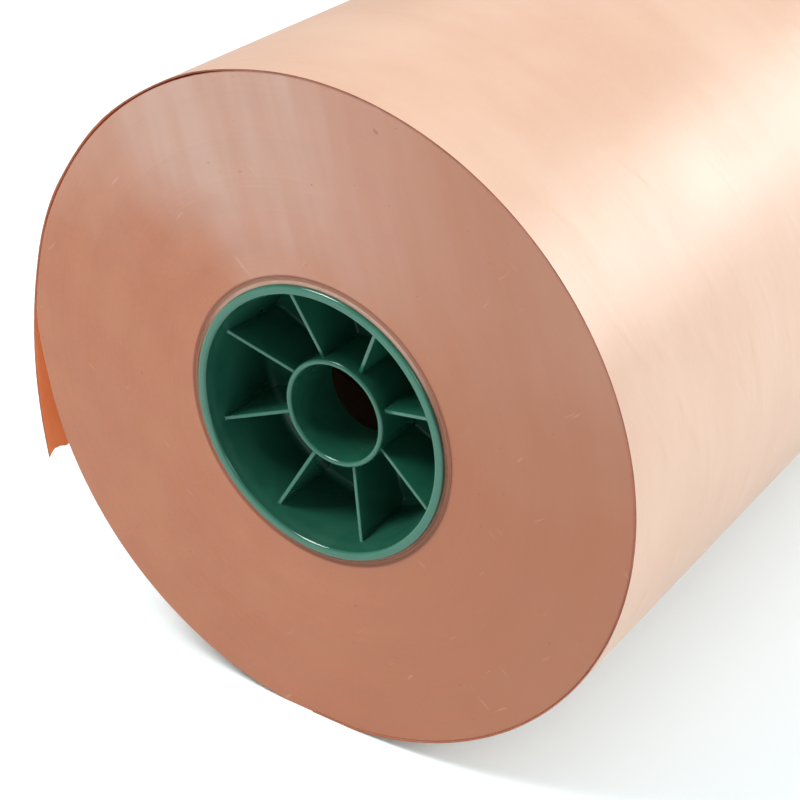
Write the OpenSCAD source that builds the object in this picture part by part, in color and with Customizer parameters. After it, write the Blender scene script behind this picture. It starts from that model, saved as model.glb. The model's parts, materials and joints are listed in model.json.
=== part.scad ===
// A wide roll of thin sheet wound on a three-inch paperboard core, with a moulded plug in each core end.
// The roll lies on its side. Its axis is along Y, its near end faces -Y, and Z = 0 is the surface it lies on.
// The outermost turn has come loose on the -X side and hangs down to its torn end.

/* [Roll] */
// Width of the sheet, from one end face to the other
roll_w = 610; // [300:5:920]
// Outer diameter of the wound roll
roll_d = 196; // [150:1:260]
// Half the width of the flat that the roll's weight presses into its underside
flat_half_w = 12; // [6:1:20]
// Thickness given to the outermost turn and to the loose end
sheet_t = 0.4; // [0.3:0.05:0.8]
// How far the core lies towards +X from the middle of the wind
core_shift_x = 2.7; // [0:0.1:4]
// How far the core lies above the middle of the wind
core_shift_z = 1.4; // [0:0.1:3]

/* [Loose end] */
// Direction from the roll's middle, up from +X, in which the outermost turn lets go
let_go_angle = 164.5; // [150:0.5:175]
// How far the loose end stands off the roll where it lets go
let_go_gap = 1.1; // [0.8:0.1:3]
// Radius of the curl left in the loose end
curl_r = 177; // [150:1:260]
// Length of the loose end, along its curl
loose_len = 66; // [30:1:75]

/* [Core] */
// How far each end of the core lies below the roll's end face
core_inset = 0.2; // [0.1:0.1:2]
// Inside diameter of the core
core_id = 76.2; // [70:0.1:80]
// Thickness of the smooth ply that lines the core
liner_t = 0.4; // [0.3:0.05:0.6]
// Thickness of each structural ply
body_ply_t = 0.85; // [0.6:0.05:1.2]
// Thickness of the ply that covers the core
cover_t = 0.4; // [0.3:0.05:0.6]
// Width of the adhesive strip that holds the first turn to the core
strip_w = 19; // [12:1:25]
// Thickness of that strip
strip_t = 0.2; // [0.15:0.05:0.4]

/* [Core plug] */
// Diameter of the flange, which rests on the end of the core
flange_d = 80.6; // [79:0.1:83]
// Thickness of the flange
flange_t = 1.3; // [1.2:0.1:3]
// Length of the plug, from the flange's face to its inner end
plug_len = 27.8; // [22:0.1:45]
// Diameter of the bore for a bar through the hub
hub_bore_d = 28.6; // [20:0.1:32]
// Wall thickness of the hub
hub_wall = 1.8; // [1.2:0.1:3]
// Depth of the hub's top below the flange's face
hub_depth = 8.2; // [4:0.1:12]
// Thickness of the floor that joins the hub to the sleeve
floor_t = 2; // [1.5:0.1:3]
// Thickness of a rib
rib_t = 1.4; // [1:0.1:2.5]
// Angle of the first rib of the near plug, up from +X
near_rib_angle = 17.5; // [0:0.5:45]
// Angle of the first rib of the far plug, down from +X
far_rib_angle = 31; // [0:0.5:45]

/* [Hidden] */
$fn = 96;

roll_r = roll_d / 2;
flat_depth = roll_r - sqrt(roll_r * roll_r - flat_half_w * flat_half_w);
axis_z = roll_r - flat_depth;
core_x = core_shift_x;
core_z = axis_z + core_shift_z;

// The glue line between two plies, and the slack between the core and the first turn
glue_gap = 0.03;
core_r = core_id / 2;
body_plies = 4;
core_out_r = core_r + liner_t + body_plies * body_ply_t + cover_t;
core_len = roll_w - 2 * core_inset;
strip_angle = 90;
strip_len = core_len - 14;
strip_span = 180 * strip_w / (PI * core_out_r);

// The sleeve slides in the core with this much room all round
sleeve_room = 0.08;
sleeve_r = core_r - sleeve_room;
sleeve_lead = 0.9;
sleeve_lead_len = 3;
flange_r = flange_d / 2;
flange_edge_r = 0.8;
flange_back_chamfer = 0.3;
mouth_r = 38.2;
mouth_lip_r = 37.5;
mouth_lip_depth = 1;
wall_in_r = 36.9;
wall_in_depth = 3.8;
wall_foot_r = 35.6;
floor_top = -plug_len + floor_t;
hub_in_r = hub_bore_d / 2;
hub_out_r = hub_in_r + hub_wall;
ribs = 8;
// A rib's top falls from the sleeve's wall to the hub
rib_wall_depth = 4.9;
rib_hub_depth = hub_depth + 2.5;
foot_fillet = 2.5;
hub_fillet = 1;
into_wall = 0.5;

// The end of the outermost turn lies past where the loose end hangs down to
torn_angle = 203;
let_go_r = roll_r + let_go_gap;
curl_x = -(curl_r - let_go_r) * cos(let_go_angle);
curl_z = axis_z - (curl_r - let_go_r) * sin(let_go_angle);
loose_span = 180 * loose_len / (PI * curl_r);

web_colour = "#c2826a";
side_colour = "#f5d2b9";
loose_colour = "#cd6441";
board_colour = "#a5684a";
liner_colour = "#b98a66";
strip_colour = "#e3d9b8";
plug_colour = "#3c876a";

// Extrudes a shape drawn in X and Z along Y, with its middle at y = 0
module along_y(length) {
    rotate([90, 0, 0])
        linear_extrude(height = length, center = true)
            children();
}

// A sector of a disc between two directions, up to a half turn apart
module sector(r, from, to) {
    mid = (from + to) / 2;
    reach = r / cos((to - from) / 4);
    polygon([
        [0, 0],
        [r * cos(from), r * sin(from)],
        [reach * cos((from + mid) / 2), reach * sin((from + mid) / 2)],
        [r * cos(mid), r * sin(mid)],
        [reach * cos((mid + to) / 2), reach * sin((mid + to) / 2)],
        [r * cos(to), r * sin(to)]
    ]);
}

// The roll's round outline with its flat underside, at a depth below the outer surface
module roll_outline(depth) {
    half = 1.5 * roll_r;
    intersection() {
        translate([0, axis_z]) circle(r = roll_r - depth);
        translate([-half, depth]) square([2 * half, 2 * half]);
    }
}

module core_tube(inner_r, outer_r, tube_colour) {
    color(tube_colour)
        translate([core_x, 0, core_z])
            rotate([90, 0, 0])
                difference() {
                    cylinder(r = outer_r, h = core_len, center = true);
                    cylinder(r = inner_r, h = core_len + 2, center = true);
                }
}

module core_liner() {
    core_tube(core_r, core_r + liner_t - glue_gap, liner_colour);
}

module core_body_ply(number) {
    inner_r = core_r + liner_t + (number - 1) * body_ply_t;
    core_tube(inner_r, inner_r + body_ply_t - glue_gap, board_colour);
}

module core_cover() {
    inner_r = core_out_r - cover_t;
    core_tube(inner_r, core_out_r - glue_gap, board_colour);
}

// The room that the adhesive strip takes on the core, or the strip itself
module strip_shape(inner_r, outer_r, span) {
    translate([core_x, core_z])
        intersection() {
            difference() {
                circle(r = outer_r);
                circle(r = inner_r);
            }
            sector(outer_r * 1.2, strip_angle - span / 2, strip_angle + span / 2);
        }
}

module core_start_strip() {
    color(strip_colour)
        along_y(strip_len)
            strip_shape(core_out_r, core_out_r + strip_t, strip_span);
}

// Every turn of the sheet but the outermost
module wound_web() {
    strip_room = 0.06;
    color(web_colour)
        difference() {
            along_y(roll_w)
                difference() {
                    roll_outline(sheet_t);
                    translate([core_x, core_z]) circle(r = core_out_r);
                }
            along_y(strip_len + 1)
                strip_shape(core_out_r - 1, core_out_r + strip_t + strip_room, strip_span + 0.5);
        }
}

module outermost_turn() {
    color(side_colour)
        along_y(roll_w)
            difference() {
                roll_outline(0);
                roll_outline(sheet_t - glue_gap);
                translate([0, axis_z]) sector(1.3 * roll_r, let_go_angle, torn_angle);
            }
}

module loose_end() {
    color(loose_colour)
        translate([curl_x, 0, curl_z])
            along_y(roll_w)
                intersection() {
                    difference() {
                        circle(r = curl_r);
                        circle(r = curl_r - sheet_t);
                    }
                    sector(1.1 * curl_r, let_go_angle, let_go_angle + loose_span);
                }
}

// Fills the corner between a floor at y = 0 and a wall at x = 0, on the wall's -X side
module corner_fillet(r) {
    difference() {
        translate([-r, -into_wall]) square([r + into_wall, r + into_wall]);
        translate([-r, r]) circle(r = r);
    }
}

// The quarter of a disc above and to the +X side of its middle
module upper_quarter(r) {
    intersection() {
        circle(r = r);
        square([r, r]);
    }
}

// Half of the plug's section: flange, sleeve, floor and hub. Y = 0 is the flange's face.
module plug_section() {
    hub_round = hub_wall / 2;
    difference() {
        union() {
            polygon([
                [mouth_r, 0],
                [flange_r - flange_edge_r, 0],
                [flange_r, -flange_edge_r],
                [flange_r, -flange_t + flange_back_chamfer],
                [flange_r - flange_back_chamfer, -flange_t],
                [sleeve_r, -flange_t],
                [sleeve_r, -plug_len + sleeve_lead_len],
                [sleeve_r - sleeve_lead, -plug_len],
                [hub_in_r, -plug_len],
                [hub_in_r, floor_top],
                [wall_foot_r, floor_top],
                [wall_in_r, -wall_in_depth],
                [mouth_lip_r, -mouth_lip_depth]
            ]);
            translate([flange_r - flange_edge_r, -flange_edge_r]) upper_quarter(flange_edge_r);
            translate([hub_in_r, floor_top - into_wall])
                square([hub_wall, plug_len - floor_t - hub_depth - hub_round + into_wall]);
            translate([hub_in_r + hub_round, -hub_depth - hub_round]) circle(r = hub_round);
            translate([wall_foot_r, floor_top]) corner_fillet(foot_fillet);
            translate([hub_out_r, floor_top]) mirror([1, 0]) corner_fillet(hub_fillet);
        }
        translate([0, -plug_len - 1]) square([hub_in_r, plug_len]);
    }
}

module plug_rib() {
    into_hub = hub_wall / 2;
    rotate([90, 0, 0])
        linear_extrude(height = rib_t, center = true)
            polygon([
                [hub_out_r - into_hub, -rib_hub_depth],
                [wall_in_r + into_wall, -rib_wall_depth],
                [wall_in_r + into_wall, floor_top - into_wall],
                [hub_out_r - into_hub, floor_top - into_wall]
            ]);
}

// A plug with its flange's face at z = 0 and its sleeve below
module plug(rib_angle) {
    color(plug_colour)
        union() {
            rotate_extrude() plug_section();
            for (i = [0:ribs - 1])
                rotate([0, 0, rib_angle + i * 360 / ribs]) plug_rib();
        }
}

module near_core_plug() {
    translate([core_x, -core_len / 2 - flange_t, core_z])
        rotate([90, 0, 0])
            plug(near_rib_angle);
}

module far_core_plug() {
    translate([core_x, core_len / 2 + flange_t, core_z])
        rotate([-90, 0, 0])
            plug(far_rib_angle);
}

near_core_plug();
far_core_plug();
core_liner();
core_body_ply(1);  // core_body_ply_1
core_body_ply(2);  // core_body_ply_2
core_body_ply(3);  // core_body_ply_3
core_body_ply(4);  // core_body_ply_4
core_cover();
core_start_strip();
wound_web();
outermost_turn();
loose_end();
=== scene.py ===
import json
import math

import bmesh
import bpy
import numpy as np
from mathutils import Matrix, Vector


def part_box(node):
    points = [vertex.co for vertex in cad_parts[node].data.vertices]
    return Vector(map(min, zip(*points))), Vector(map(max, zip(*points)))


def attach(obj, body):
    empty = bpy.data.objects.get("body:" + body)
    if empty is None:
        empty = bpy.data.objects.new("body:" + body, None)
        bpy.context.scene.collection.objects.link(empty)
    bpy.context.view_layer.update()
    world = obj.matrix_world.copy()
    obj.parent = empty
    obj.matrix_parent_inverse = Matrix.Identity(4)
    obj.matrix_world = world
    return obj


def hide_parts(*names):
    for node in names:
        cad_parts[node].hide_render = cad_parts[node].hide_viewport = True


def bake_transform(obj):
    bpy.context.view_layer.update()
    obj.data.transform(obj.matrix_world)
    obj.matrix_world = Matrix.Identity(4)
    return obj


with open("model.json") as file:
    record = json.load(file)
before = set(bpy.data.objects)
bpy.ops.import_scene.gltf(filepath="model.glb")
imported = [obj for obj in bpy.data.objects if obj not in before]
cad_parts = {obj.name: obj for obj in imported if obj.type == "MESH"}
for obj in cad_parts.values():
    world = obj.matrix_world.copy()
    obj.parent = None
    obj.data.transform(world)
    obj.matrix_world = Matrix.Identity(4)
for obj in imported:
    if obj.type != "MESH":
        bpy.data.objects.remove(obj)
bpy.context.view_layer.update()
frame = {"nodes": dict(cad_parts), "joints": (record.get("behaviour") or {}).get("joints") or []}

# ---------------------------------------------------------------- sizes
# Metres, in the part's frame: the roll's axis is along Y, its near end faces -Y, and the floor is Z = 0.
MM = 0.001
RNG_SEED = 7
HALF_TURN = math.pi
FULL_TURN = 2 * math.pi
SKIN_SHARP = math.radians(38)  # edges sharper than this are shaded as edges
SHEET_SHARP = math.radians(50)

turn_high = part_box("outermost_turn")[1]
ROLL_R = turn_high.x
AXIS_Z = turn_high.z - ROLL_R
END_Y = turn_high.y

cover_low, cover_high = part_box("core_cover")
CORE_R = (cover_high.x - cover_low.x) / 2
CORE_X = (cover_high.x + cover_low.x) / 2
CORE_Z = (cover_high.z + cover_low.z) / 2

# The line where the outermost turn lets go of the roll
joints = {joint["name"]: joint for joint in frame["joints"]}
LET_GO = Vector(joints["loose_end_lift"]["pos_m"])
LET_GO_ANGLE = math.atan2(LET_GO.z - AXIS_Z, LET_GO.x)
LET_GO_R = math.hypot(LET_GO.x, LET_GO.z - AXIS_Z)

# The sheet. Angles go up from +X, and the outermost turn runs from the underside up the +X side.
UNDERSIDE = math.radians(-90)
LIFT_START = math.radians(143)
SHEET_T = 0.38 * MM
RIM_GAP = 0.12 * MM  # between the outermost turn and the web
CLEARANCE = 0.02 * MM  # the least that is left between the web and the sheet on it
CURL_R = 177 * MM
HUG = 0.3 * MM  # how far the loose end first stays inside its curl
LOOSE_LEN = 66 * MM

NEAR_RIB_ANGLE = math.radians(17.5)
FAR_RIB_ANGLE = math.radians(31)


# ---------------------------------------------------------------- small tools
def rise(value, start, end):
    """0 before start, 1 after end, and a smooth rise between."""
    t = np.clip((value - start) / (end - start), 0, 1)
    return t * t * (3 - 2 * t)


def waves(rng, count, low, high):
    """Random sine waves with wavelengths from low to high, as a function whose value stays near -1 to 1."""
    lengths = np.exp(rng.uniform(math.log(low), math.log(high), count))
    phases = rng.uniform(0, FULL_TURN, count)
    slants = rng.uniform(0, FULL_TURN, count)

    def value(a, b=0.0):
        total = 0
        for length, phase, slant in zip(lengths, phases, slants):
            along = a * math.cos(slant) + b * math.sin(slant)
            total = total + np.sin(FULL_TURN * along / length + phase)
        return total / math.sqrt(count)

    return value


def link_new(name, data):
    """A new object in the scene."""
    made = bpy.data.objects.new(name, data)
    bpy.context.scene.collection.objects.link(made)
    return made


def skin(name, points, material_rows=None):
    """A closed ring-shaped mesh over a grid of points that joins up both ways, with its faces turned
    outwards. material_rows gives each row's material."""
    rows, columns = points.shape[:2]
    index = np.arange(rows * columns).reshape(rows, columns)
    index = np.vstack([index, index[:1]])
    index = np.hstack([index, index[:, :1]])
    corners = [index[:-1, :-1], index[1:, :-1], index[1:, 1:], index[:-1, 1:]]
    quads = np.stack(corners, axis=-1).reshape(-1, 4)
    flat = points.reshape(-1, 3)
    a, b, c, d = (flat[quads[:, i]] for i in range(4))
    volume = (a * np.cross(b, c)).sum() + (a * np.cross(c, d)).sum()
    if volume < 0:
        quads = quads[:, ::-1]
    mesh = bpy.data.meshes.new(name)
    mesh.from_pydata(flat.tolist(), [], quads.tolist())
    mesh.validate()
    if material_rows is not None:
        face_materials = np.repeat(np.asarray(material_rows), columns)
        mesh.polygons.foreach_set("material_index", face_materials.astype(np.int32))
    mesh.shade_smooth()
    mesh.set_sharp_from_angle(angle=SKIN_SHARP)
    return link_new(name, mesh)


# ---------------------------------------------------------------- materials
class Paint:
    """Builds one procedural material, node by node."""

    def __init__(self, name):
        self.material = bpy.data.materials.new(name)
        self.material.use_nodes = True
        self.tree = self.material.node_tree
        self.shader = self.tree.nodes["Principled BSDF"]
        self.output = self.tree.nodes["Material Output"]
        self.coords = self.node("ShaderNodeTexCoord")
        self.place = self.coords.outputs["Object"]

    def put(self, socket, value):
        """Links a socket to value, or sets it. A colour is given as three numbers."""
        if isinstance(value, bpy.types.NodeSocket):
            self.tree.links.new(value, socket)
        elif isinstance(value, tuple):
            socket.default_value = (*value, 1.0)
        else:
            socket.default_value = value

    def node(self, kind, inputs=None, **settings):
        made = self.tree.nodes.new(kind)
        for name, value in settings.items():
            setattr(made, name, value)
        for name, value in (inputs or {}).items():
            self.put(made.inputs[name], value)
        return made

    def maths(self, operation, a, b=0.0):
        return self.node("ShaderNodeMath", {0: a, 1: b}, operation=operation).outputs[0]

    def plus(self, a, b):
        return self.maths("ADD", a, b)

    def minus(self, a, b):
        return self.maths("SUBTRACT", a, b)

    def times(self, a, b):
        return self.maths("MULTIPLY", a, b)

    def size_of(self, a):
        return self.maths("ABSOLUTE", a)

    def axis(self, name, source=None):
        return self.node("ShaderNodeSeparateXYZ", {0: source or self.place}).outputs[name]

    def vector(self, x, y, z):
        return self.node("ShaderNodeCombineXYZ", {0: x, 1: y, 2: z}).outputs[0]

    def noise(self, scale, detail=3, roughness=0.5, place=None, distortion=0.0):
        inputs = {
            "Vector": place or self.place,
            "Scale": scale,
            "Detail": detail,
            "Roughness": roughness,
            "Distortion": distortion,
        }
        return self.node("ShaderNodeTexNoise", inputs).outputs["Fac"]

    def stretched_noise(self, x, y, z=0.0, detail=3, roughness=0.5):
        """Noise at coordinates that are already scaled, each by its own amount."""
        return self.noise(1.0, detail, roughness, self.vector(x, y, z))

    def spread(self, value, low, high, to_low=0.0, to_high=1.0):
        """value from low..high to to_low..to_high, smoothly and clamped."""
        ends = {"Value": value, "From Min": low, "From Max": high, "To Min": to_low, "To Max": to_high}
        return self.node("ShaderNodeMapRange", ends, interpolation_type="SMOOTHSTEP").outputs[0]

    def mix(self, factor, a, b):
        made = self.node("ShaderNodeMix", data_type="RGBA")
        factor_input, a_input, b_input = made.inputs[0], made.inputs[6], made.inputs[7]
        self.put(factor_input, factor)
        self.put(a_input, a)
        self.put(b_input, b)
        return made.outputs[2]

    def bump(self, height, distance, strength, normal=None):
        inputs = {"Height": height, "Distance": distance, "Strength": strength}
        if normal is not None:
            inputs["Normal"] = normal
        return self.node("ShaderNodeBump", inputs).outputs[0]

    def set(self, **values):
        """Sets the shader's sockets. A socket's name has _ for each space."""
        for name, value in values.items():
            self.put(self.shader.inputs[name.replace("_", " ")], value)

    def add_translucent(self, share, colour, normal):
        through = self.node("ShaderNodeBsdfTranslucent", {"Color": colour, "Normal": normal})
        shaders = {0: share, 1: self.shader.outputs[0], 2: through.outputs[0]}
        both = self.node("ShaderNodeMixShader", shaders)
        self.tree.links.new(both.outputs[0], self.output.inputs["Surface"])


def around_the_roll(paint):
    """Coordinates on the roll's side: along the sheet's length, and along the roll's axis."""
    height = paint.minus(paint.axis("Z"), AXIS_Z)
    angle = paint.maths("ARCTAN2", height, paint.axis("X"))
    return paint.times(angle, ROLL_R), paint.axis("Y")


def from_the_core(paint):
    """How far a point is from the core's axis."""
    x = paint.minus(paint.axis("X"), CORE_X)
    z = paint.minus(paint.axis("Z"), CORE_Z)
    flat = paint.vector(x, 0.0, z)
    return paint.node("ShaderNodeVectorMath", {0: flat}, operation="LENGTH").outputs["Value"]


def paper_fibres(paint, along, across):
    """Fine fibres that run along the sheet's length."""
    return paint.stretched_noise(paint.times(along, 420), paint.times(across, 1500), roughness=0.6)


def sheet_relief(paint, along, across, fibres, drag):
    """The outer face's relief: fibres, drag marks, soft swells and faint slanted creases."""
    grain = paint.bump(fibres, 0.03 * MM, 0.5)
    cockle = paint.bump(drag, 0.4 * MM, 0.35, grain)
    swell = paint.stretched_noise(paint.times(along, 28), paint.times(across, 60), 5.0, detail=2)
    swelled = paint.bump(swell, 1.2 * MM, 0.25, cockle)
    slanted = paint.plus(paint.times(across, 120), paint.times(along, 30))
    creases = paint.stretched_noise(paint.times(along, 42), slanted, 2.0, detail=1)
    return paint.bump(paint.spread(creases, 0.5, 0.8), 0.5 * MM, 0.3, swelled)


def sheet_outside():
    """The sheet's outer face: pale copper-peach, with a soft gloss, cloudy formation and faint creases.
    Where the sheet hangs free, this face lets more light through to a ray from inside the sheet."""
    peach, pale_peach = (0.555, 0.355, 0.250), (0.59, 0.40, 0.295)
    drag_mark, fibre_tip = (0.54, 0.33, 0.225), (0.63, 0.45, 0.34)
    always_through, free_through = 0.12, 0.36
    paint = Paint("sheet_outside")
    along, across = around_the_roll(paint)
    clouds = paint.noise(24, 4, 0.55)
    fibres = paper_fibres(paint, along, across)
    drag = paint.stretched_noise(paint.times(along, 9), paint.times(across, 90))
    base = paint.mix(paint.spread(clouds, 0.3, 0.72), peach, pale_peach)
    base = paint.mix(paint.spread(drag, 0.35, 0.75, 0.0, 0.35), base, drag_mark)
    base = paint.mix(paint.spread(fibres, 0.3, 0.8, 0.0, 0.22), base, fibre_tip)
    rough = paint.spread(clouds, 0.25, 0.75, 0.36, 0.46)
    relief = sheet_relief(paint, along, across, fibres, drag)
    paint.set(Base_Color=base, Roughness=rough, Normal=relief, IOR=1.5)
    below_let_go = paint.spread(paint.axis("Z"), LET_GO.z - 30 * MM, LET_GO.z, free_through, 0.0)
    on_loose_side = paint.spread(paint.axis("X"), -60 * MM, -40 * MM, 1.0, 0.0)
    back_side = paint.node("ShaderNodeNewGeometry").outputs["Backfacing"]
    free_share = paint.times(back_side, paint.times(below_let_go, on_loose_side))
    paint.add_translucent(paint.plus(free_share, always_through), (0.90, 0.54, 0.36), relief)
    return paint.material


def sheet_inside():
    """The sheet's inner face: a stronger orange, which lets light through."""
    orange, light_orange, fibre_tip = (0.82, 0.28, 0.125), (0.87, 0.33, 0.155), (0.95, 0.44, 0.23)
    paint = Paint("sheet_inside")
    along, across = around_the_roll(paint)
    clouds = paint.noise(40, 4, 0.55)
    fibres = paper_fibres(paint, along, across)
    base = paint.mix(paint.spread(clouds, 0.3, 0.7), orange, light_orange)
    base = paint.mix(paint.spread(fibres, 0.35, 0.8, 0.0, 0.25), base, fibre_tip)
    grain = paint.bump(fibres, 0.04 * MM, 0.6)
    paint.set(Base_Color=base, Roughness=0.6, Normal=grain, IOR=1.45)
    paint.add_translucent(0.5, (1.0, 0.42, 0.19), grain)
    return paint.material


def sheet_rim():
    """The cut edge of a single sheet: darker and redder than its faces."""
    dark_red, red_brown = (0.24, 0.07, 0.042), (0.36, 0.115, 0.07)
    paint = Paint("sheet_rim")
    patches = paint.noise(160, 3, 0.6)
    base = paint.mix(paint.spread(patches, 0.3, 0.7), dark_red, red_brown)
    paint.set(Base_Color=base, Roughness=0.6, IOR=1.45)
    return paint.material


def painted_sheen(paint, x, z):
    """How much painted sheen a place on an end face gets: a pale, streaked reflection painted into the
    colour, most high on the -X side.
    """
    up = paint.minus(z, AXIS_Z)
    tilt = math.radians(14.7)
    across = paint.plus(paint.times(x, math.cos(tilt)), paint.times(up, math.sin(tilt)))
    along = paint.minus(paint.times(up, math.cos(tilt)), paint.times(x, math.sin(tilt)))
    streaks = paint.stretched_noise(paint.times(across, 62), paint.times(along, 7), roughness=0.6)
    cloud = paint.noise(26)
    reach = paint.plus(paint.times(up, 0.97), paint.times(x, 0.22))
    reach = paint.plus(reach, paint.times(paint.minus(cloud, 0.5), 0.055))
    patch = paint.times(paint.spread(reach, 0.012, 0.070), paint.spread(x, -0.015, 0.05, 0.80, 0.24))
    return paint.times(patch, paint.spread(streaks, 0.35, 0.65, 0.72, 1.08))


def scuffs(paint, x, z):
    """Short pale strokes where the end face was knocked or rubbed, in two directions."""
    first = paint.stretched_noise(
        paint.plus(paint.times(x, 60), paint.times(z, 60)),
        paint.minus(paint.times(x, 330), paint.times(z, 330)), 3.7, detail=2)
    second = paint.stretched_noise(
        paint.minus(paint.times(x, 50), paint.times(z, 40)),
        paint.plus(paint.times(x, 220), paint.times(z, 280)), 8.1, detail=2)
    return paint.spread(paint.maths("MAXIMUM", first, second), 0.71, 0.84, 0.0, 0.36)


def ring_noise(paint, radius, x, z, fineness, drift, roughness):
    """Noise in rings round the core. drift is how quickly a ring changes on its way round."""
    return paint.stretched_noise(
        paint.times(radius, fineness), paint.times(x, drift), paint.times(z, drift), roughness=roughness)


def sheet_edges():
    """The end face: thousands of sheet edges, as fine rings, with mottling, scuffs and specks, a painted
    sheen high on the -X side, painted shade towards +X and a painted shadow line round the core.
    """
    terracotta, light_terracotta = (0.395, 0.125, 0.053), (0.43, 0.158, 0.076)
    shaded = (0.332, 0.110, 0.048)
    pale_band, dark_ring, grain_tip = (0.45, 0.165, 0.085), (0.34, 0.098, 0.040), (0.48, 0.20, 0.115)
    painted_sheen_colour, core_gap_shade = (0.525, 0.325, 0.258), (0.24, 0.055, 0.025)
    scuff, speck = (0.62, 0.40, 0.29), (0.17, 0.07, 0.045)
    paint = Paint("sheet_edges")
    radius = from_the_core(paint)
    x, z = paint.axis("X"), paint.axis("Z")
    rings = ring_noise(paint, radius, x, z, 2600, 9, 0.65)
    bands = ring_noise(paint, radius, x, z, 420, 6, 0.55)
    mottle = paint.noise(55, 5, 0.6)
    grain = paint.noise(1300, 2, 0.6)
    specks = paint.noise(520, 1)
    base = paint.mix(paint.spread(mottle, 0.3, 0.7), terracotta, light_terracotta)
    base = paint.mix(paint.spread(bands, 0.3, 0.75, 0.0, 0.15), base, pale_band)
    base = paint.mix(paint.spread(rings, 0.35, 0.75, 0.0, 0.10), base, dark_ring)
    base = paint.mix(paint.spread(grain, 0.45, 0.85, 0.0, 0.22), base, grain_tip)
    # painted shade: the end face is made darker towards +X, where less light falls
    shade = paint.plus(x, paint.times(paint.minus(mottle, 0.5), 0.06))
    base = paint.mix(paint.spread(shade, -0.015, 0.080, 0.0, 0.80), base, shaded)
    # painted sheen: a pale streaked reflection painted into the end face's colour
    base = paint.mix(painted_sheen(paint, x, z), base, painted_sheen_colour)
    # painted shade: a dark line where the gap between the core and the wound sheet lies in shadow
    seam = paint.spread(radius, CORE_R + 0.2 * MM, CORE_R + 0.9 * MM, 0.75, 0.0)
    base = paint.mix(seam, base, core_gap_shade)
    base = paint.mix(scuffs(paint, x, z), base, scuff)
    base = paint.mix(paint.spread(specks, 0.785, 0.82, 0.0, 0.5), base, speck)
    rough = paint.spread(mottle, 0.3, 0.7, 0.44, 0.56)
    rub = paint.bump(grain, 0.03 * MM, 0.5, paint.bump(rings, 0.05 * MM, 0.45))
    paint.set(Base_Color=base, Roughness=rough, Normal=rub, IOR=1.5)
    return paint.material


def plug_plastic():
    """Moulded green plastic: glossy, with a paler painted sheen on its outward faces near the mouth, and a
    darker painted shade and a duller gloss on the sleeve's inner wall.
    """
    green, light_green = (0.011, 0.085, 0.052), (0.018, 0.110, 0.068)
    painted_rim_sheen, painted_wall_shade = (0.045, 0.18, 0.118), (0.006, 0.050, 0.031)
    paint = Paint("plug_plastic")
    flow = paint.noise(60, 4, 0.55, distortion=1.2)
    peel = paint.noise(420, 2)
    depth = paint.minus(END_Y, paint.size_of(paint.axis("Y")))
    facing_out = paint.size_of(paint.axis("Y", paint.coords.outputs["Normal"]))
    near_mouth = paint.spread(depth, 11 * MM, 13 * MM, 1.0, 0.0)
    painted_rim_sheen_mask = paint.times(paint.spread(facing_out, 0.5, 0.9), near_mouth)
    far_from_hub = paint.spread(from_the_core(paint), 34.5 * MM, 35.5 * MM)
    on_wall = paint.times(far_from_hub, paint.spread(facing_out, 0.2, 0.5, 1.0, 0.0))
    base = paint.mix(paint.spread(flow, 0.3, 0.7), green, light_green)
    # painted sheen: outward faces near the mouth are paler, standing in for the reflection of the bright
    # floor
    base = paint.mix(paint.times(painted_rim_sheen_mask, 0.6), base, painted_rim_sheen)
    # painted shade: the sleeve's inner wall is darker, as in the shadow of the flange and ribs
    base = paint.mix(paint.times(on_wall, 0.5), base, painted_wall_shade)
    rough = paint.spread(flow, 0.3, 0.7, 0.09, 0.15)
    rough = paint.times(rough, paint.spread(depth, 12 * MM, 16 * MM, 1.0, 0.5))
    rough = paint.plus(rough, paint.times(on_wall, 0.22))
    paint.set(Base_Color=base, Roughness=rough, Normal=paint.bump(peel, 0.02 * MM, 0.2), IOR=1.5)
    return paint.material


def core_board():
    """Structural paperboard plies: brown-red board with short fibres, and paler painted light on their
    upper part.
    """
    board, light_board, fibre_tip = (0.23, 0.095, 0.055), (0.29, 0.125, 0.075), (0.38, 0.20, 0.135)
    painted_top_light, outer_ply = (0.60, 0.385, 0.30), (0.27, 0.11, 0.065)
    paint = Paint("core_board")
    fibres = paint.noise(900, 4, 0.65)
    tone = paint.noise(90)
    base = paint.mix(paint.spread(tone, 0.3, 0.7), board, light_board)
    base = paint.mix(paint.spread(fibres, 0.4, 0.8, 0.0, 0.3), base, fibre_tip)
    height = paint.minus(paint.axis("Z"), CORE_Z)
    # painted light: the board is paler towards its top, where the light falls
    base = paint.mix(paint.spread(height, 0.012, 0.036, 0.0, 0.9), base, painted_top_light)
    radius = from_the_core(paint)
    in_outer_ply = paint.spread(radius, CORE_R - 1.15 * MM, CORE_R - 0.85 * MM, 0.0, 0.85)
    base = paint.mix(in_outer_ply, base, outer_ply)
    paint.set(Base_Color=base, Roughness=0.85, Normal=paint.bump(fibres, 0.12 * MM, 0.7), IOR=1.4)
    return paint.material


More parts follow.
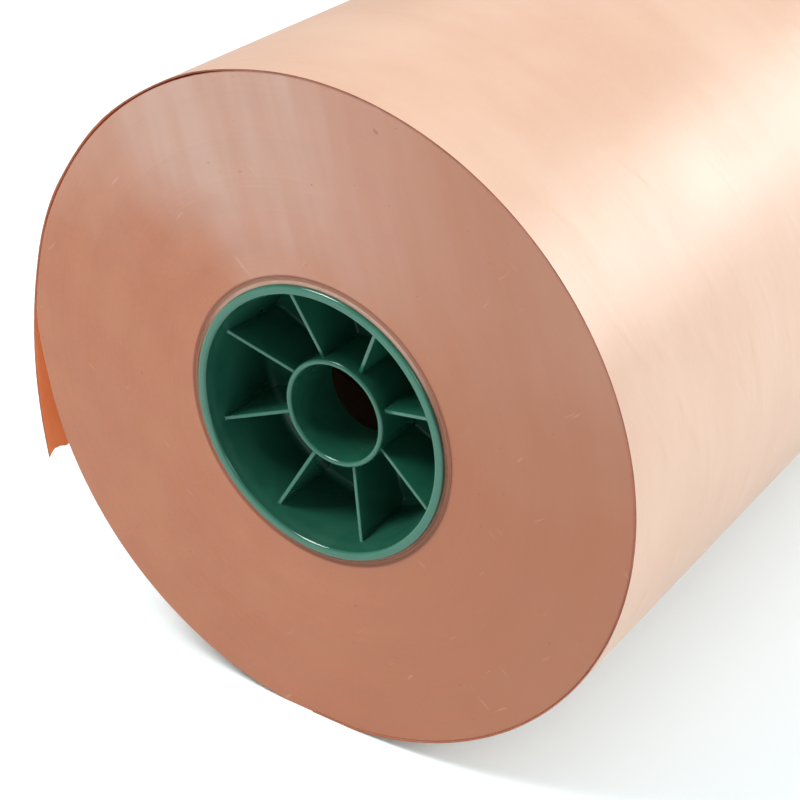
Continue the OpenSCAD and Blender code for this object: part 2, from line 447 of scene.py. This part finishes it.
def core_liner_paper():
    """The ply that lines the core: smooth brown paper, wound on the bias, with its butt seam."""
    brown, light_brown = (0.40, 0.225, 0.13), (0.48, 0.29, 0.175)
    fibre_tip, seam_brown = (0.58, 0.39, 0.26), (0.16, 0.075, 0.04)
    seam_pitch = 0.13
    paint = Paint("core_liner_paper")
    height = paint.minus(paint.axis("Z"), CORE_Z)
    turn = paint.maths("ARCTAN2", height, paint.minus(paint.axis("X"), CORE_X))
    strips = paint.minus(paint.times(paint.axis("Y"), 1 / seam_pitch), paint.times(turn, 1 / FULL_TURN))
    from_seam = paint.size_of(paint.minus(paint.maths("FRACT", strips), 0.5))
    beside_seam = paint.spread(from_seam, 0.0, 0.006)
    fibres = paint.noise(700, 4, 0.6)
    tone = paint.noise(50)
    base = paint.mix(paint.spread(tone, 0.3, 0.7), brown, light_brown)
    base = paint.mix(paint.spread(fibres, 0.4, 0.8, 0.0, 0.35), base, fibre_tip)
    base = paint.mix(beside_seam, seam_brown, base)
    relief = paint.bump(beside_seam, 0.3 * MM, 1.0, paint.bump(fibres, 0.06 * MM, 0.5))
    paint.set(Base_Color=base, Roughness=0.72, Normal=relief, IOR=1.45)
    return paint.material


def adhesive_strip():
    """Cream double-sided strip with small bubbles."""
    cream, light_cream = (0.74, 0.68, 0.50), (0.83, 0.78, 0.62)
    paint = Paint("adhesive_strip")
    bubbles = paint.noise(500, 2)
    base = paint.mix(paint.spread(bubbles, 0.4, 0.7), cream, light_cream)
    paint.set(Base_Color=base, Roughness=0.4, Normal=paint.bump(bubbles, 0.05 * MM, 0.5), IOR=1.47)
    return paint.material


def floor_paint():
    """The stage's floor: nearly white, slightly blue."""
    white, lighter_white = (0.83, 0.925, 0.96), (0.845, 0.935, 0.965)
    paint = Paint("floor_white")
    base = paint.mix(paint.noise(3, 2), white, lighter_white)
    paint.set(Base_Color=base, Roughness=0.55)
    return paint.material


# ---------------------------------------------------------------- camera, floor and light
NEAR_FACE = Vector((0, -END_Y, AXIS_Z))
CAMERA_OFFSET = Vector((0.2622, -0.3430, 0.2533))
VIEW_DIRECTION = Vector((-0.4884, 0.7192, -0.4940))
LENS_MM = 84.27
SENSOR_MM = 36
FLOOR_REACH = 12
SKY_STRENGTH = 0.50
WARM = (1.0, 0.985, 0.96)
WINDOW_WARM = (1.0, 0.98, 0.96)
COOL = (0.85, 0.95, 1.0)
SKY = (0.94, 0.97, 1.0)


def aim_at(thing, direction):
    """Turns a camera or a light to look along direction, with its top up."""
    thing.rotation_mode = "QUATERNION"
    thing.rotation_quaternion = direction.to_track_quat("-Z", "Y")


def add_camera():
    data = bpy.data.cameras.new("camera")
    data.lens = LENS_MM
    data.sensor_width = SENSOR_MM
    data.clip_start = 0.01
    data.clip_end = 50
    camera = link_new("camera", data)
    camera.location = NEAR_FACE + CAMERA_OFFSET
    aim_at(camera, VIEW_DIRECTION)
    bpy.context.scene.camera = camera


def add_floor():
    signs = ((-1, -1), (1, -1), (1, 1), (-1, 1))
    corners = [(FLOOR_REACH * x, FLOOR_REACH * y, 0) for x, y in signs]
    mesh = bpy.data.meshes.new("floor")
    mesh.from_pydata(corners, [], [(0, 1, 2, 3)])
    mesh.materials.append(floor_paint())
    floor = link_new("floor", mesh)


def add_panel(name, place, aim, size, power, colour=(1, 1, 1)):
    """A soft rectangular light at place, facing aim."""
    data = bpy.data.lights.new(name, "AREA")
    data.shape = "RECTANGLE"
    data.size, data.size_y = size
    data.energy = power
    data.color = colour
    light = link_new(name, data)
    light.location = place
    aim_at(light, Vector(aim) - Vector(place))


def add_world():
    world = bpy.data.worlds.new("studio")
    world.use_nodes = True
    background = world.node_tree.nodes["Background"]
    background.inputs["Color"].default_value = (*SKY, 1)
    background.inputs["Strength"].default_value = SKY_STRENGTH
    bpy.context.scene.world = world
    bpy.context.scene.view_settings.view_transform = "Standard"


def add_light():
    add_world()
    add_panel("key", (-0.85, -0.95, 1.85), (0, -0.2, 0.1), (0.8, 0.8), 43, WARM)
    add_panel("top", (0.75, 0.45, 1.8), (0.3, 0.1, 0), (1.6, 1.6), 10)
    add_panel("side_fill", (1.9, 0.6, 0.9), (0, 0.1, 0.1), (1.2, 1.2), 11)
    add_panel("back_window", (1.25, 1.7, 0.90), (0.05, -0.2, 0.12), (1.3, 1.0), 41, WINDOW_WARM)
    add_panel("glint", (1.6, -0.62, 1.1), (0, -0.3, 0.1), (0.35, 0.5), 5, COOL)


# ---------------------------------------------------------------- the roll's section
def outline_radius(angle, radius, floor_z):
    """The distance from the roll's axis to a circle whose underside is pressed flat at floor_z."""
    down = np.maximum(-np.sin(angle), 1e-6)
    flat = np.where(np.sin(angle) < 0, (AXIS_Z - floor_z) / down, np.inf)
    return np.minimum(radius, flat)


def ring_points(angle, radius):
    return np.stack([radius * np.cos(angle), AXIS_Z + radius * np.sin(angle)], axis=-1)


def slack_bulge(back):
    """How far the slack turns under the loose end stand proud. back is the angle behind the underside."""
    angle = np.degrees(UNDERSIDE - back) % 360
    swell = 0.7 * MM * rise(angle, 146, 164) + 0.65 * MM * rise(angle, 165, 177)
    return swell * (1 - rise(angle, 174, 190))


def web_outline(angle):
    """The wound web's outline. On the -X side, below the loose end, it is the sheet's outer face."""
    back = np.mod(UNDERSIDE - angle, FULL_TURN)
    shown_span = (UNDERSIDE - LIFT_START) % FULL_TURN
    closed = rise(back, math.radians(330), FULL_TURN)
    under_turn = ROLL_R - SHEET_T - RIM_GAP + closed * (RIM_GAP - CLEARANCE)
    shown = ROLL_R - (SHEET_T + 2 * CLEARANCE) * back / shown_span
    fade = rise(back, shown_span, shown_span + math.radians(25))
    radius = np.where(back < shown_span, shown, shown * (1 - fade) + under_turn * fade)
    radius = np.where(back > HALF_TURN, under_turn, radius) + slack_bulge(back)
    floor_z = np.where(back > HALF_TURN, SHEET_T + CLEARANCE, 0.0)
    return ring_points(angle, outline_radius(angle, radius, floor_z))


# ---------------------------------------------------------------- the wound sheet
WEB_COLUMNS, WEB_RINGS, WEB_SIDE_ROWS, WEB_BORE_ROWS = 240, 150, 30, 8
FACE_SET_BACK = 0.12 * MM  # the end faces lie this far inside the outermost turn's edge
TURN_STEP = 0.013 * MM  # how far one ring of turns stands out from the next
TURN_DRIFT = 0.07 * MM
FACE_RIPPLE = 0.05 * MM
BORE_ROOM = 0.05 * MM


def build_web(materials):
    """Every turn but the outermost, with its ringed end faces."""
    rng = np.random.default_rng(RNG_SEED)
    start = math.radians(0.4)
    angle = np.linspace(-HALF_TURN, HALF_TURN, WEB_COLUMNS, endpoint=False) + start
    outer = web_outline(angle)
    bore_r = CORE_R + BORE_ROOM
    bore = np.stack([CORE_X + bore_r * np.cos(angle), CORE_Z + bore_r * np.sin(angle)], axis=-1)
    share = np.linspace(0, 1, WEB_RINGS)
    step = rng.normal(0, TURN_STEP, WEB_RINGS)
    drift = waves(rng, 6, 0.04, 0.5)
    wobble = waves(rng, 5, 0.03, 0.12)
    lean = TURN_DRIFT * drift(share) + step
    lean[0] = lean[-1] = -FACE_SET_BACK
    face = bore[None] + share[:, None, None] * (outer - bore)[None]
    ripple = FACE_RIPPLE * wobble(face[..., 0], face[..., 1]) * np.sin(HALF_TURN * share)[:, None]

    def end_face(sign):
        y = sign * (END_Y - FACE_SET_BACK + lean[:, None] + ripple)
        return np.stack([face[..., 0], y, face[..., 1]], axis=-1)

    def wall(section, from_y, to_y, rows):
        y = np.linspace(from_y, to_y, rows + 2)[1:-1]
        grid = np.empty((rows, WEB_COLUMNS, 3))
        grid[..., 0], grid[..., 2] = section[:, 0], section[:, 1]
        grid[..., 1] = y[:, None]
        return grid

    near, far = end_face(-1), end_face(1)
    side = wall(outer, -END_Y, END_Y, WEB_SIDE_ROWS)
    hollow = wall(bore, END_Y, -END_Y, WEB_BORE_ROWS)
    points = np.concatenate([near, side, far[::-1], hollow])
    edges, outside = 0, 1
    side_material = [outside] * (WEB_SIDE_ROWS + 1)
    rows_material = [edges] * (WEB_RINGS - 1) + side_material + [edges] * (WEB_RINGS + WEB_BORE_ROWS)
    web = skin("wound_sheet", points, rows_material)
    web.data.materials.append(materials["sheet_edges"])
    web.data.materials.append(materials["sheet_outside"])
    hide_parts("wound_web")
    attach(web, "roll")
    return web


# ---------------------------------------------------------------- the outermost turn and the loose end
STAND_OFF_REACH = 0.06  # how far from the near end the sheet still stands off the wind
NEAR_STAND_OFF, NEAR_RIPPLE = 0.42 * MM, 0.10 * MM
COCKLE = 0.05 * MM
SWAY = 1.2 * MM  # how far the torn edge sways off its curl
TEAR_EXTRA = 1.3 * MM  # how far the torn edge runs past the CAD flap
TOOTH_LEN, TOOTH_WIDTH = 3.1 * MM, 2.7 * MM
SLANT_LEN, SLANT_WIDTH = 2.6 * MM, 7.6 * MM


def wound_part(rng, angle, from_near):
    """x and z of the outermost turn's outer face, up to the line where it lets go."""
    lift = rise(angle, LIFT_START, LET_GO_ANGLE) * (LET_GO_R - ROLL_R - HUG)
    buckle = waves(rng, 5, 0.05, 0.16)
    ripple = np.sin(FULL_TURN * (angle - math.radians(150)) / math.radians(23))
    stand_off = (NEAR_STAND_OFF + NEAR_RIPPLE * ripple) * rise(angle, math.radians(98), math.radians(114))
    stand_off = stand_off * np.exp(-from_near / STAND_OFF_REACH)
    stand_off = stand_off * (1 - rise(angle, LET_GO_ANGLE - 0.3, LET_GO_ANGLE))
    cockle = COCKLE * np.abs(buckle(angle * ROLL_R, from_near * 0.6))
    off_the_floor = rise(angle, math.radians(-60), math.radians(-20))
    radius = ROLL_R + lift + stand_off + cockle * off_the_floor
    radius = outline_radius(angle + 0 * radius, radius, 0.0)
    return radius * np.cos(angle), AXIS_Z + radius * np.sin(angle)


def torn_length(rng, from_near):
    """The loose end's length at each place along the roll, with a tooth and a slant at the near end."""
    tear = waves(rng, 5, 0.012, 0.09)
    shred = waves(rng, 6, 0.0025, 0.01)
    tooth = TOOTH_LEN * np.clip(1 - from_near / TOOTH_WIDTH, 0, 1)
    slant = SLANT_LEN * np.clip(from_near / SLANT_WIDTH, 0, 1)
    ragged = 0.5 * MM * tear(from_near) + 0.2 * MM * shred(from_near)
    return LOOSE_LEN + TEAR_EXTRA + tooth + slant + ragged


def loose_part(rng, share, from_near):
    """x and z of the loose end's outer face. share is 0 where it lets go and 1 at the torn edge."""
    curl_x = LET_GO.x - CURL_R * math.cos(LET_GO_ANGLE)
    curl_z = LET_GO.z - CURL_R * math.sin(LET_GO_ANGLE)
    length = torn_length(rng, from_near)
    bend = LET_GO_ANGLE + share * length / CURL_R
    flutter = waves(rng, 4, 0.12, 0.4)
    sway = SWAY * flutter(from_near) * share**2
    radius = CURL_R + sway - HUG * (1 - rise(share, 0, 0.75))
    return curl_x + radius * np.cos(bend), curl_z + radius * np.sin(bend)


def inner_face(outer):
    """The sheet's inner face: SHEET_T inside the outer one, and never below the floor."""
    slope_line = np.gradient(outer, axis=0)
    slope_y = np.gradient(outer, axis=1)
    normal = np.cross(slope_y, slope_line)
    normal /= np.linalg.norm(normal, axis=-1, keepdims=True)
    probe = outer[20, 20]
    from_axis = probe - np.array([0, probe[1], AXIS_Z])
    outward = np.sign((normal[20, 20] * from_axis).sum())
    inner = outer - outward * normal * SHEET_T
    inner[..., 2] = np.maximum(inner[..., 2], outer[..., 2].min())
    return inner


def build_sheet(materials):
    """The outermost turn and its loose end, as one sheet from the roll's underside to the torn edge."""
    rng = np.random.default_rng(RNG_SEED + 1)
    near_y = np.concatenate([np.arange(0, 8, 0.4), np.linspace(8, 60, 22)]) * MM
    rest = np.linspace(60 * MM, 2 * END_Y, 96)[1:]
    y = np.concatenate([near_y, rest]) - END_Y
    wound = np.linspace(UNDERSIDE - math.radians(1), LET_GO_ANGLE, 270)
    loose = np.concatenate([np.linspace(0, 0.9, 22)[1:], np.linspace(0.9, 1, 9)[1:]])

    from_near = (y + END_Y)[None]
    wound_x, wound_z = wound_part(rng, wound[:, None], from_near)
    loose_x, loose_z = loose_part(rng, loose[:, None], from_near)
    x = np.concatenate([wound_x, loose_x])
    z = np.concatenate([wound_z, loose_z])
    outer = np.stack([x, np.broadcast_to(y, x.shape), z], axis=-1)
    points = np.concatenate([outer, inner_face(outer)[::-1]])

    sheet = sheet_solid("outer_sheet", points, len(outer), len(y))
    for name in ("sheet_outside", "sheet_inside", "sheet_rim"):
        sheet.data.materials.append(materials[name])
    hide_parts("outermost_turn", "loose_end")
    line = outer[:, len(y) // 2]
    sheet_length = float(np.linalg.norm(np.diff(line, axis=0), axis=1).sum())
    return sheet, sheet_length


def sheet_solid(name, points, rows, columns):
    """A closed thin solid: points holds the outer face's rows, then the inner face's rows in reverse."""
    outside, inside, rim = 0, 1, 2
    index = np.arange(points.shape[0] * columns).reshape(-1, columns)
    looped = np.vstack([index, index[:1]])
    quads = np.stack([looped[:-1, :-1], looped[1:, :-1], looped[1:, 1:], looped[:-1, 1:]], axis=-1)
    row_material = [outside] * (rows - 1) + [rim] + [inside] * (rows - 1) + [rim]
    faces = quads.reshape(-1, 4)
    face_material = np.repeat(row_material, columns - 1)
    outer, inner = index[:rows], index[rows:][::-1]
    first, last = 0, -1
    for column, order in ((first, 1), (last, -1)):
        a, b = outer[:, column], inner[:, column]
        edge = np.stack([a[:-1], a[1:], b[1:], b[:-1]], axis=-1)[:, ::order]
        faces = np.concatenate([faces, edge])
        face_material = np.concatenate([face_material, np.full(len(edge), rim)])
    mesh = bpy.data.meshes.new(name)
    mesh.from_pydata(points.reshape(-1, 3).tolist(), [], faces.tolist())
    mesh.polygons.foreach_set("material_index", face_material.astype(np.int32))
    turn_faces_out(mesh)
    mesh.shade_smooth()
    mesh.set_sharp_from_angle(angle=SHEET_SHARP)
    return link_new(name, mesh)


def turn_faces_out(mesh):
    shape = bmesh.new()
    shape.from_mesh(mesh)
    bmesh.ops.recalc_face_normals(shape, faces=shape.faces)
    if shape.calc_volume(signed=True) < 0:
        bmesh.ops.reverse_faces(shape, faces=shape.faces)
    shape.to_mesh(mesh)
    shape.free()


# ---------------------------------------------------------------- the core plugs
# In millimetres: R is a distance from the plug's axis, and DEPTH goes inwards from the flange's face.
FLANGE_R, FLANGE_EDGE, FLANGE_T = 40.3, 0.8, 1.3
MOUTH_R, LIP_R, LIP_DEPTH = 38.5, 37.55, 1.1
WALL_R, WALL_TOP_DEPTH, FOOT_R, FOOT_FILLET = 36.9, 3.8, 35.6, 2.5
FLOOR_DEPTH, PLUG_LEN = 25.8, 27.8
HUB_R, HUB_WALL, HUB_DEPTH, HUB_FILLET, HUB_DRAFT = 14.3, 1.8, 8.2, 1.0, 0.15
SLEEVE_R, LEAD_IN, LEAD_LEN = 38.02, 0.9, 3.0
RIBS, RIB_HALF, RIB_DRAFT, RIB_ROUND, RIB_FILLET = 8, 0.6, 0.2, 0.3, 0.8
RIB_WALL_DEPTH, RIB_HUB_DEPTH = 4.9, 10.7
CHAMFER = 0.3  # between the flange's back and the sleeve
HUB_MID_R = HUB_R + HUB_WALL / 2
HUB_TOP = HUB_DEPTH + HUB_WALL / 2  # where the hub's rounded rim ends
# Distances from a rib's middle plane, close together over its rounded top and its foot's fillet
RIB_SECTION = [0, 0.3, 0.42, 0.51, 0.57, 0.6, 0.65, 0.7, 0.75, 0.8, 0.86, 1.0, 1.25, 1.6]


def arc(r, depth, radius_r, radius_depth, start, end, steps):
    """Points round an elliptical arc in the plug's section. 90 degrees points out of the plug."""
    turn = np.radians(np.linspace(start, end, steps))
    return [(r + radius_r * math.cos(t), depth - radius_depth * math.sin(t)) for t in turn]


def pocket_profile():
    """The section that the ribs stand on: over the hub's rim, down it, along the floor and up the wall."""
    hub_foot_r = HUB_R + HUB_WALL + HUB_DRAFT + HUB_FILLET
    hub_foot_depth = FLOOR_DEPTH - HUB_FILLET
    profile = arc(HUB_MID_R, HUB_TOP, HUB_WALL / 2, HUB_WALL / 2, 180, 0, 13)
    for t in np.linspace(0, 1, 9)[1:-1]:
        profile.append((HUB_R + HUB_WALL + HUB_DRAFT * t, HUB_TOP + (hub_foot_depth - HUB_TOP) * t))
    profile += arc(hub_foot_r, hub_foot_depth, HUB_FILLET, HUB_FILLET, 180, 270, 6)
    wall_foot_r = FOOT_R - FOOT_FILLET
    wall_foot_depth = FLOOR_DEPTH - FOOT_FILLET
    profile += [(r, FLOOR_DEPTH) for r in np.linspace(hub_foot_r, wall_foot_r, 10)[1:-1]]
    profile += arc(wall_foot_r, wall_foot_depth, FOOT_FILLET, FOOT_FILLET, 270, 360, 9)
    wall_lean = (WALL_R - FOOT_R) / (wall_foot_depth - WALL_TOP_DEPTH)
    wall_depths = [*np.linspace(wall_foot_depth, RIB_WALL_DEPTH, 13)[1:], WALL_TOP_DEPTH]
    return profile + [(FOOT_R + wall_lean * (wall_foot_depth - depth), depth) for depth in wall_depths]


def shell_profile():
    """The rest of the section: over the flange, down the sleeve, across the inner end and up the bore."""
    under = FLANGE_T + CHAMFER
    end_r = SLEEVE_R - LEAD_IN - 0.3
    profile = [((WALL_R + LIP_R) / 2, (WALL_TOP_DEPTH + LIP_DEPTH) / 2)]
    profile += arc(MOUTH_R, LIP_DEPTH, MOUTH_R - LIP_R, LIP_DEPTH, 180, 90, 9)
    profile += [((MOUTH_R + FLANGE_R - FLANGE_EDGE) / 2, 0)]
    profile += arc(FLANGE_R - FLANGE_EDGE, FLANGE_EDGE, FLANGE_EDGE, FLANGE_EDGE, 90, 0, 9)
    profile += [(FLANGE_R, FLANGE_T - 0.25), (FLANGE_R - 0.25, FLANGE_T)]
    profile += [(SLEEVE_R + CHAMFER, FLANGE_T), (SLEEVE_R, under)]
    profile += [(SLEEVE_R, depth) for depth in np.linspace(under, PLUG_LEN - LEAD_LEN, 5)[1:]]
    profile += [(SLEEVE_R - LEAD_IN + 0.2, PLUG_LEN - 0.4), (end_r, PLUG_LEN)]
    profile += [(r, PLUG_LEN) for r in np.linspace(end_r, HUB_R + 0.4, 7)[1:]]
    return profile + [(HUB_R, depth) for depth in np.linspace(PLUG_LEN - 0.4, HUB_TOP, 7)[:-1]]


def rib_depth(r, v):
    """The depth of a rib's surface at a distance v from the rib's middle plane."""
    slope = (RIB_WALL_DEPTH - RIB_HUB_DEPTH) / (WALL_R - HUB_MID_R)
    top = RIB_HUB_DEPTH + slope * (r - HUB_MID_R)
    round_start = RIB_HALF - RIB_ROUND
    foot = RIB_HALF + RIB_DRAFT
    if v <= round_start:
        return top
    if v < RIB_HALF:
        return top + RIB_ROUND - math.sqrt(max(RIB_ROUND**2 - (v - round_start) ** 2, 0))
    if v < foot:
        share = (v - RIB_HALF) / RIB_DRAFT
        return top + RIB_ROUND + share * (FLOOR_DEPTH - RIB_FILLET - top - RIB_ROUND)
    if v < foot + RIB_FILLET:
        return FLOOR_DEPTH - RIB_FILLET + math.sqrt(max(RIB_FILLET**2 - (foot + RIB_FILLET - v) ** 2, 0))
    return FLOOR_DEPTH


def rib_sector(r):
    """Angles across one rib's share of a circle at r, each with the depth that the rib reaches there."""
    half_sector = HALF_TURN / RIBS
    reach = math.asin(RIB_SECTION[-1] / r)
    half = [(math.asin(v / r), rib_depth(r, v)) for v in RIB_SECTION]
    half += [(reach + (half_sector - reach) * t, FLOOR_DEPTH) for t in np.linspace(0, 1, 8)[1:]]
    return [(-angle, depth) for angle, depth in half[:0:-1]] + half[:-1]


def build_plug(name, node, body, outward, rib_angle, turn_sign, materials):
    """One moulded plug. outward is the Y direction that its flange faces."""
    low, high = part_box(node)
    face_y = low.y if outward < 0 else high.y
    section = [(r, depth, True) for r, depth in pocket_profile()]
    section += [(r, depth, False) for r, depth in shell_profile()]
    rows = []
    for r, depth, in_pocket in section:
        row = []
        for rib in range(RIBS):
            for angle, rib_top in rib_sector(r):
                turn = turn_sign * (rib_angle + FULL_TURN / RIBS * rib + angle)
                y = face_y - outward * MM * (min(depth, rib_top) if in_pocket else depth)
                row.append((CORE_X + r * MM * math.cos(turn), y, CORE_Z + r * MM * math.sin(turn)))
        rows.append(row)
    plug = skin(name, np.array(rows))
    plug.data.materials.append(materials["plug_plastic"])
    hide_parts(node)
    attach(plug, body)
    return plug


# ---------------------------------------------------------------- the core's plies
PLY_COLUMNS, PLY_ROWS = 192, 14
PLY_BEVEL = 0.05 * MM
PLY_RAG = 0.03 * MM  # how unevenly the saw left a ply's ends


def inner_radius(node):
    """The smallest distance of a node's vertices from the core's axis."""
    mesh = frame["nodes"][node].data
    return min(math.hypot(v.co.x - CORE_X, v.co.z - CORE_Z) for v in mesh.vertices)


def ply_section(inner_r, outer_r, low_y, high_y):
    """A ply's wall, once round: radius and y of each point, with bevelled ends."""
    middle = np.linspace(low_y, high_y, PLY_ROWS)[1:-1]
    section = [(inner_r, low_y + PLY_BEVEL), *[(inner_r, y) for y in middle], (inner_r, high_y - PLY_BEVEL)]
    section += [(inner_r + PLY_BEVEL, high_y), (outer_r - PLY_BEVEL, high_y)]
    section += [(outer_r, high_y - PLY_BEVEL), *[(outer_r, y) for y in middle[::-1]]]
    section += [(outer_r, low_y + PLY_BEVEL), (outer_r - PLY_BEVEL, low_y), (inner_r + PLY_BEVEL, low_y)]
    return section


def build_ply(name, node, slot, seed, materials):
    """One ply of the core: a paper tube with a slightly ragged cut at each end."""
    low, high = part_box(node)
    rng = np.random.default_rng(RNG_SEED + seed)
    angle = np.linspace(0, FULL_TURN, PLY_COLUMNS, endpoint=False)
    rag = rng.normal(0, PLY_RAG, (2, PLY_COLUMNS))
    section = ply_section(inner_radius(node), (high.x - low.x) / 2, low.y, high.y)
    points = np.empty((len(section), PLY_COLUMNS, 3))
    for row, (r, y) in enumerate(section):
        at_end = abs(y) > high.y - 2 * PLY_BEVEL
        points[row, :, 0] = CORE_X + r * np.cos(angle)
        points[row, :, 1] = y + (rag[int(y > 0)] if at_end else 0)
        points[row, :, 2] = CORE_Z + r * np.sin(angle)
    ply = skin(name, points)
    ply.data.materials.append(materials[slot])
    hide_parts(node)
    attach(ply, "roll")
    return ply


# ---------------------------------------------------------------- make everything
add_camera()
add_floor()
add_light()

materials = {
    "sheet_outside": sheet_outside(),
    "sheet_inside": sheet_inside(),
    "sheet_rim": sheet_rim(),
    "sheet_edges": sheet_edges(),
    "plug_plastic": plug_plastic(),
    "core_board": core_board(),
    "core_liner_paper": core_liner_paper(),
    "adhesive_strip": adhesive_strip(),
}

web = build_web(materials)
sheet, sheet_length = build_sheet(materials)
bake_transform(sheet)

build_plug("near_plug_moulding", "near_core_plug", "near_plug", -1, NEAR_RIB_ANGLE, 1, materials)
build_plug("far_plug_moulding", "far_core_plug", "far_plug", 1, FAR_RIB_ANGLE, -1, materials)

build_ply("core_liner_tube", "core_liner", "core_liner_paper", 10, materials)
for number in range(1, 5):
    node = f"core_body_ply_{number}"
    build_ply(f"core_body_tube_{number}", node, "core_board", 10 + number, materials)
build_ply("core_cover_tube", "core_cover", "core_board", 15, materials)

# The adhesive strip keeps its CAD mesh
strip = frame["nodes"]["core_start_strip"]
strip.data.materials.clear()
strip.data.materials.append(materials["adhesive_strip"])
